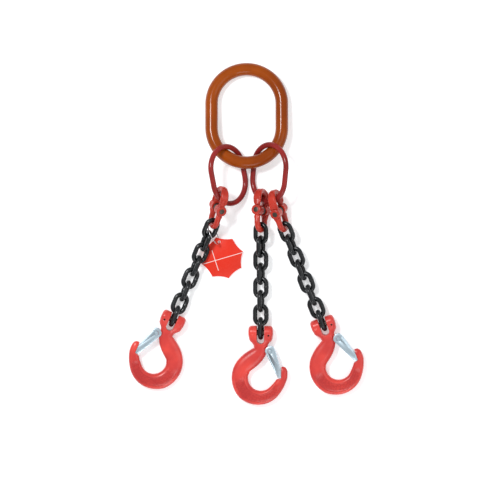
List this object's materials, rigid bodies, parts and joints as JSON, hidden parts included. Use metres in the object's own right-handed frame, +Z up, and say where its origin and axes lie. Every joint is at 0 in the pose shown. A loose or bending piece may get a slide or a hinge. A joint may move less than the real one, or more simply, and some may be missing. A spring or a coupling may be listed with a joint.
{
  "type": "three-leg chain sling",
  "caption": "Chain sling: an oval master link, two sub-links, hinged couplers, round-link chain legs ending in clevis hooks with sprung latches, and an identification tag.",
  "frame": {"origin": "the crane hook's bearing point inside the top of the master link, at the centre height of its bar", "axes": "+Y out of the master link towards the crane, -Y down the legs, +Z up from the surface the sling lies on, +X to the right seen from above with the master link at the top"},
  "size_m": [0.4087, 0.5953, 0.0661],
  "materials": {
    "amber_paint": "gloss enamel",
    "maroon_paint": "gloss enamel",
    "red_paint": "satin powder coat",
    "black_steel": "black tempered finish with a slight sheen",
    "zinc": "bright zinc plate",
    "dark_steel": "dark oiled steel",
    "ring_steel": "bright wire",
    "tag_red": "matt red print"
  },
  "bodies": {
    "master_link": {"master_link": "amber_paint"},
    "left_sub_link": {"left_sub_link": "maroon_paint"},
    "right_sub_link": {"right_sub_link": "maroon_paint"},
    "left_coupler_upper": {"left_coupler_upper_half": "red_paint"},
    "left_coupler_lower": {"left_coupler_lower_half": "red_paint", "left_coupler_load_pin": "dark_steel", "left_coupler_sleeve": "dark_steel"},
    "left_chain_link_1": {"left_chain_link_1": "black_steel"},
    "left_chain_link_2": {"left_chain_link_2": "black_steel"},
    "left_chain_link_3": {"left_chain_link_3": "black_steel"},
    "left_chain_link_4": {"left_chain_link_4": "black_steel"},
    "left_chain_link_5": {"left_chain_link_5": "black_steel"},
    "left_chain_link_6": {"left_chain_link_6": "black_steel"},
    "left_chain_link_7": {"left_chain_link_7": "black_steel"},
    "left_chain_link_8": {"left_chain_link_8": "black_steel"},
    "left_hook": {"left_hook_body": "red_paint", "left_hook_load_pin": "dark_steel", "left_hook_retaining_pin": "dark_steel", "left_latch_rivet": "zinc", "left_latch_spring": "dark_steel"},
    "left_latch": {"left_latch": "zinc"},
    "middle_coupler_upper": {"middle_coupler_upper_half": "red_paint"},
    "middle_coupler_lower": {"middle_coupler_lower_half": "red_paint", "middle_coupler_load_pin": "dark_steel", "middle_coupler_sleeve": "dark_steel"},
    "middle_chain_link_1": {"middle_chain_link_1": "black_steel"},
    "middle_chain_link_2": {"middle_chain_link_2": "black_steel"},
    "middle_chain_link_3": {"middle_chain_link_3": "black_steel"},
    "middle_chain_link_4": {"middle_chain_link_4": "black_steel"},
    "middle_chain_link_5": {"middle_chain_link_5": "black_steel"},
    "middle_chain_link_6": {"middle_chain_link_6": "black_steel"},
    "middle_chain_link_7": {"middle_chain_link_7": "black_steel"},
    "middle_chain_link_8": {"middle_chain_link_8": "black_steel"},
    "middle_hook": {"middle_hook_body": "red_paint", "middle_hook_load_pin": "dark_steel", "middle_hook_retaining_pin": "dark_steel", "middle_latch_rivet": "zinc", "middle_latch_spring": "dark_steel"},
    "middle_latch": {"middle_latch": "zinc"},
    "right_coupler_upper": {"right_coupler_upper_half": "red_paint"},
    "right_coupler_lower": {"right_coupler_lower_half": "red_paint", "right_coupler_load_pin": "dark_steel", "right_coupler_sleeve": "dark_steel"},
    "right_chain_link_1": {"right_chain_link_1": "black_steel"},
    "right_chain_link_2": {"right_chain_link_2": "black_steel"},
    "right_chain_link_3": {"right_chain_link_3": "black_steel"},
    "right_chain_link_4": {"right_chain_link_4": "black_steel"},
    "right_chain_link_5": {"right_chain_link_5": "black_steel"},
    "right_chain_link_6": {"right_chain_link_6": "black_steel"},
    "right_chain_link_7": {"right_chain_link_7": "black_steel"},
    "right_chain_link_8": {"right_chain_link_8": "black_steel"},
    "right_hook": {"right_hook_body": "red_paint", "right_hook_load_pin": "dark_steel", "right_hook_retaining_pin": "dark_steel", "right_latch_rivet": "zinc", "right_latch_spring": "dark_steel"},
    "right_latch": {"right_latch": "zinc"},
    "tag_ring": {"tag_ring": "ring_steel"},
    "tag_plate": {"tag_plate": "tag_red"}
  },
  "joints": [
    {"name": "left_sub_link_swing", "type": "hinge", "parent": "master_link", "child": "left_sub_link", "pos_m": [-0.02489, -0.14698, 0.015], "axis": [-0.913, 0.4062, -0.0386], "range_deg": [-12, 12]},
    {"name": "right_sub_link_swing", "type": "hinge", "parent": "master_link", "child": "right_sub_link", "pos_m": [0.02949, -0.1447, 0.01478], "axis": [0.8754, 0.4813, -0.0457], "range_deg": [-15, 12]},
    {"name": "left_coupler_on_sub_link", "type": "hinge", "parent": "left_sub_link", "child": "left_coupler_upper", "pos_m": [-0.04395, -0.21733, 0.03483], "axis": [0.6164, -0.5322, -0.5803], "range_deg": [-30, 60]},
    {"name": "left_coupler_pin", "type": "hinge", "parent": "left_coupler_upper", "child": "left_coupler_lower", "pos_m": [-0.04979, -0.23053, 0.02689], "axis": [0.3487, -0.3633, 0.864], "range_deg": [-45, 28]},
    {"name": "left_link_1_fold", "type": "hinge", "parent": "left_coupler_lower", "child": "left_chain_link_1", "pos_m": [-0.05624, -0.25203, 0.02045], "axis": [0.875, -0.2367, -0.4223], "range_deg": [-45, 8]},
    {"name": "left_link_2_fold", "type": "hinge", "parent": "left_chain_link_1", "child": "left_chain_link_2", "pos_m": [-0.06495, -0.27297, 0.01347], "axis": [0.2996, -0.318, 0.8995], "range_deg": [-45, 0]},
    {"name": "left_link_3_fold", "type": "hinge", "parent": "left_chain_link_2", "child": "left_chain_link_3", "pos_m": [-0.07385, -0.29434, 0.00823], "axis": [-0.8783, 0.3193, 0.3558], "range_deg": [0, 45]},
    {"name": "left_link_4_fold", "type": "hinge", "parent": "left_chain_link_3", "child": "left_chain_link_4", "pos_m": [-0.08287, -0.31602, 0.00477], "axis": [-0.2771, 0.16, -0.9474], "range_deg": [-26, 45]},
    {"name": "left_link_5_fold", "type": "hinge", "parent": "left_chain_link_4", "child": "left_chain_link_5", "pos_m": [-0.09197, -0.33787, 0.00338], "axis": [-0.8874, 0.3694, 0.2756], "range_deg": [-60, 60]},
    {"name": "left_link_6_fold", "type": "hinge", "parent": "left_chain_link_5", "child": "left_chain_link_6", "pos_m": [-0.10108, -0.35975, 0.00338], "axis": [0.2155, -0.0897, 0.9724], "range_deg": [-45, 45]},
    {"name": "left_link_7_fold", "type": "hinge", "parent": "left_chain_link_6", "child": "left_chain_link_7", "pos_m": [-0.11019, -0.38163, 0.00338], "axis": [-0.9062, 0.3772, 0.1908], "range_deg": [-60, 60]},
    {"name": "left_link_8_fold", "type": "hinge", "parent": "left_chain_link_7", "child": "left_chain_link_8", "pos_m": [-0.11929, -0.40351, 0.00338], "axis": [-0.1365, 0.0568, -0.989], "range_deg": [-45, 14]},
    {"name": "left_hook_swing", "type": "hinge", "parent": "left_chain_link_8", "child": "left_hook", "pos_m": [-0.12811, -0.4247, 0.00338], "axis": [0.905, -0.4197, -0.0697], "range_deg": [-60, 60]},
    {"name": "left_latch_open", "type": "hinge", "parent": "left_hook", "child": "left_latch", "pos_m": [-0.15677, -0.44722, 0.00357], "axis": [0.0507, -0.0564, 0.9971], "range_deg": [0, 32], "stiffness_Nm_per_rad": 0.05, "springref_deg": -34.38},
    {"name": "middle_coupler_on_sub_link", "type": "hinge", "parent": "right_sub_link", "child": "middle_coupler_upper", "pos_m": [0.02694, -0.21636, 0.0076], "axis": [0.661, -0.4392, 0.6084], "range_deg": [-40, 6]},
    {"name": "middle_coupler_pin", "type": "hinge", "parent": "middle_coupler_upper", "child": "middle_coupler_lower", "pos_m": [0.02504, -0.2353, 0.01215], "axis": [-0.4362, 0.0898, 0.8954], "range_deg": [-9, 24]},
    {"name": "middle_link_1_fold", "type": "hinge", "parent": "middle_coupler_lower", "child": "middle_chain_link_1", "pos_m": [0.02443, -0.25857, 0.01419], "axis": [0.8988, -0.0744, 0.432], "range_deg": [-60, 60]},
    {"name": "middle_link_2_fold", "type": "hinge", "parent": "middle_chain_link_1", "child": "middle_chain_link_2", "pos_m": [0.02443, -0.28186, 0.00978], "axis": [-0.3987, -0.1123, 0.9102], "range_deg": [-24, 45]},
    {"name": "middle_link_3_fold", "type": "hinge", "parent": "middle_chain_link_2", "child": "middle_chain_link_3", "pos_m": [0.02443, -0.30535, 0.00648], "axis": [-0.9336, 0.0269, -0.3574], "range_deg": [-60, 60]},
    {"name": "middle_link_4_fold", "type": "hinge", "parent": "middle_chain_link_3", "child": "middle_chain_link_4", "pos_m": [0.02443, -0.32896, 0.00431], "axis": [0.3173, 0.0259, -0.948], "range_deg": [-45, 45]},
    {"name": "middle_link_5_fold", "type": "hinge", "parent": "middle_chain_link_4", "child": "middle_chain_link_5", "pos_m": [0.02443, -0.35265, 0.00343], "axis": [0.9613, 0, 0.2756], "range_deg": [-60, 60]},
    {"name": "middle_link_6_fold", "type": "hinge", "parent": "middle_chain_link_5", "child": "middle_chain_link_6", "pos_m": [0.02443, -0.37635, 0.00343], "axis": [-0.2334, 0, 0.9724], "range_deg": [-45, 36]},
    {"name": "middle_link_7_fold", "type": "hinge", "parent": "middle_chain_link_6", "child": "middle_chain_link_7", "pos_m": [0.02443, -0.40005, 0.00343], "axis": [-0.9816, 0, -0.1908], "range_deg": [-60, 60]},
    {"name": "middle_link_8_fold", "type": "hinge", "parent": "middle_chain_link_7", "child": "middle_chain_link_8", "pos_m": [0.02443, -0.42375, 0.00343], "axis": [0.1478, 0, -0.989], "range_deg": [-20, 30]},
    {"name": "middle_hook_swing", "type": "hinge", "parent": "middle_chain_link_8", "child": "middle_hook", "pos_m": [0.02443, -0.4467, 0.00343], "axis": [0.9976, -0.0021, 0.0697], "range_deg": [-60, 60]},
    {"name": "middle_latch_open", "type": "hinge", "parent": "middle_hook", "child": "middle_latch", "pos_m": [0.04089, -0.47922, 0.00362], "axis": [0.0698, 0.0297, -0.9971], "range_deg": [0, 32], "stiffness_Nm_per_rad": 0.05, "springref_deg": -34.38},
    {"name": "right_coupler_on_sub_link", "type": "hinge", "parent": "right_sub_link", "child": "right_coupler_upper", "pos_m": [0.04878, -0.21772, 0.02857], "axis": [0.6607, 0.3566, 0.6605], "range_deg": [-28, 60]},
    {"name": "right_coupler_pin", "type": "hinge", "parent": "right_coupler_upper", "child": "right_coupler_lower", "pos_m": [0.05597, -0.23615, 0.02106], "axis": [0.355, 0.3319, -0.874], "range_deg": [-45, 28]},
    {"name": "right_link_1_fold", "type": "hinge", "parent": "right_coupler_lower", "child": "right_chain_link_1", "pos_m": [0.0628, -0.25781, 0.01561], "axis": [0.8658, 0.2556, 0.4302], "range_deg": [-45, 45]},
    {"name": "right_link_2_fold", "type": "hinge", "parent": "right_chain_link_1", "child": "right_chain_link_2", "pos_m": [0.07141, -0.27934, 0.01061], "axis": [0.323, 0.2662, -0.9082], "range_deg": [-45, 45]},
    {"name": "right_link_3_fold", "type": "hinge", "parent": "right_chain_link_2", "child": "right_chain_link_3", "pos_m": [0.08011, -0.30108, 0.00688], "axis": [-0.8781, -0.3184, -0.3571], "range_deg": [-60, 60]},
    {"name": "right_link_4_fold", "type": "hinge", "parent": "right_chain_link_3", "child": "right_chain_link_4", "pos_m": [0.08887, -0.32299, 0.00441], "axis": [-0.2837, -0.1451, 0.9479], "range_deg": [-45, 45]},
    {"name": "right_link_5_fold", "type": "hinge", "parent": "right_chain_link_4", "child": "right_chain_link_5", "pos_m": [0.09766, -0.34498, 0.00343], "axis": [0.8925, 0.357, 0.2756], "range_deg": [-60, 60]},
    {"name": "right_link_6_fold", "type": "hinge", "parent": "right_chain_link_5", "child": "right_chain_link_6", "pos_m": [0.10646, -0.36698, 0.00343], "axis": [0.2168, 0.0867, -0.9724], "range_deg": [-45, 45]},
    {"name": "right_link_7_fold", "type": "hinge", "parent": "right_chain_link_6", "child": "right_chain_link_7", "pos_m": [0.11526, -0.38899, 0.00343], "axis": [-0.9114, -0.3645, -0.1908], "range_deg": [-60, 60]},
    {"name": "right_link_8_fold", "type": "hinge", "parent": "right_chain_link_7", "child": "right_chain_link_8", "pos_m": [0.12407, -0.41099, 0.00343], "axis": [-0.1372, -0.0549, 0.989], "range_deg": [-16, 45]},
    {"name": "right_hook_swing", "type": "hinge", "parent": "right_chain_link_8", "child": "right_hook", "pos_m": [0.13259, -0.4323, 0.00343], "axis": [0.9381, 0.3392, 0.0697], "range_deg": [-60, 60]},
    {"name": "right_latch_open", "type": "hinge", "parent": "right_hook", "child": "right_latch", "pos_m": [0.15918, -0.45723, 0.00361], "axis": [0.0554, 0.0517, -0.9971], "range_deg": [0, 32], "stiffness_Nm_per_rad": 0.05, "springref_deg": -34.38},
    {"name": "tag_ring_turn", "type": "hinge", "parent": "left_chain_link_1", "child": "tag_ring", "pos_m": [-0.05712, -0.27704, 0.00758], "axis": [-0.8668, -0.4092, -0.2849], "range_deg": [-50, 0]},
    {"name": "tag_swing", "type": "hinge", "parent": "tag_ring", "child": "tag_plate", "pos_m": [-0.04793, -0.28928, -0.00281], "axis": [0.0413, -0.6283, 0.7769], "range_deg": [0, 50]}
  ]
}
